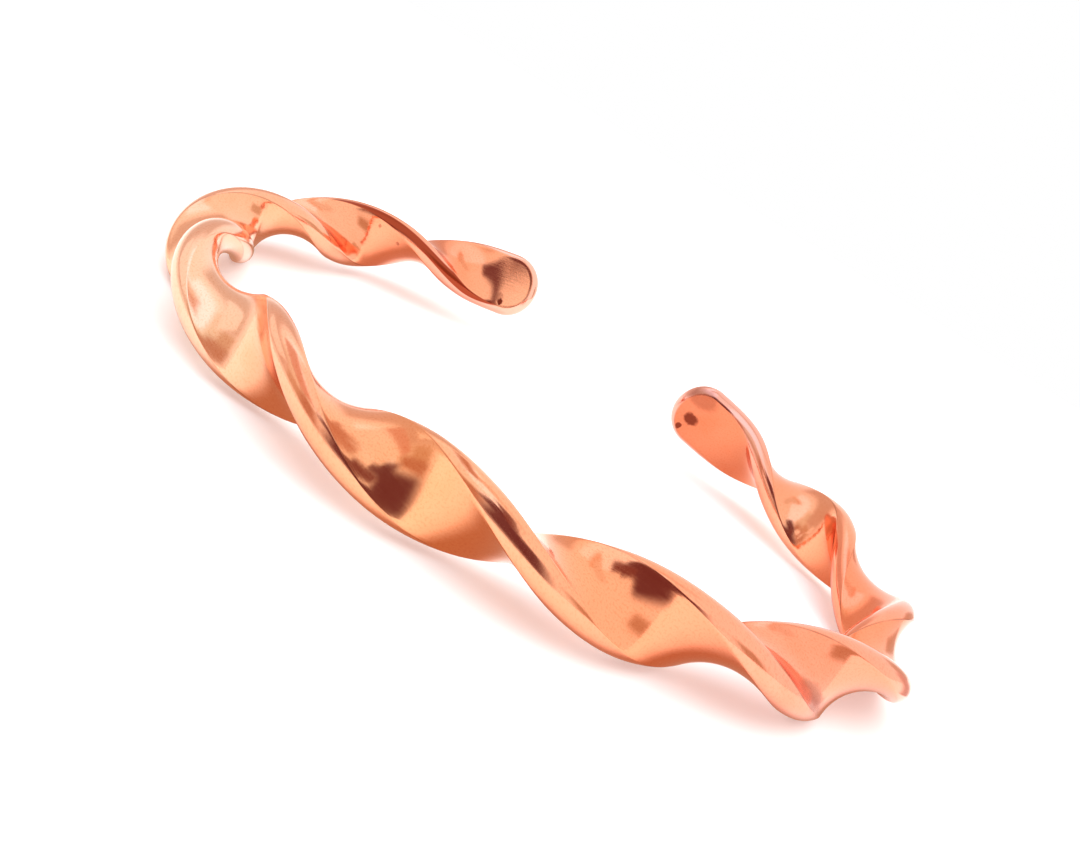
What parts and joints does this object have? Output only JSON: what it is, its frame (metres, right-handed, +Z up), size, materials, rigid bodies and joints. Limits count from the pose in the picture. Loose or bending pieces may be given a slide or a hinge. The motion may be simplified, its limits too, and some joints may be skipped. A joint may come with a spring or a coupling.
{
  "type": "twisted cuff bangle",
  "caption": "Open oval cuff bangle made from a flat copper bar twisted along its length, with plain half-round tips and a gap for the wrist.",
  "frame": {"origin": "middle of the bounding box in X and Y, at the height of the floor that the bangle lies on", "axes": "+Z up through the wrist opening, +X along the oval's length, +Y towards the gap between the tips"},
  "size_m": [0.0712, 0.0592, 0.0096],
  "materials": {
    "copper": "polished copper, lightly tarnished in brown patches"
  },
  "bodies": {
    "root": {"twisted_band": "copper"}
  },
  "joints": []
}
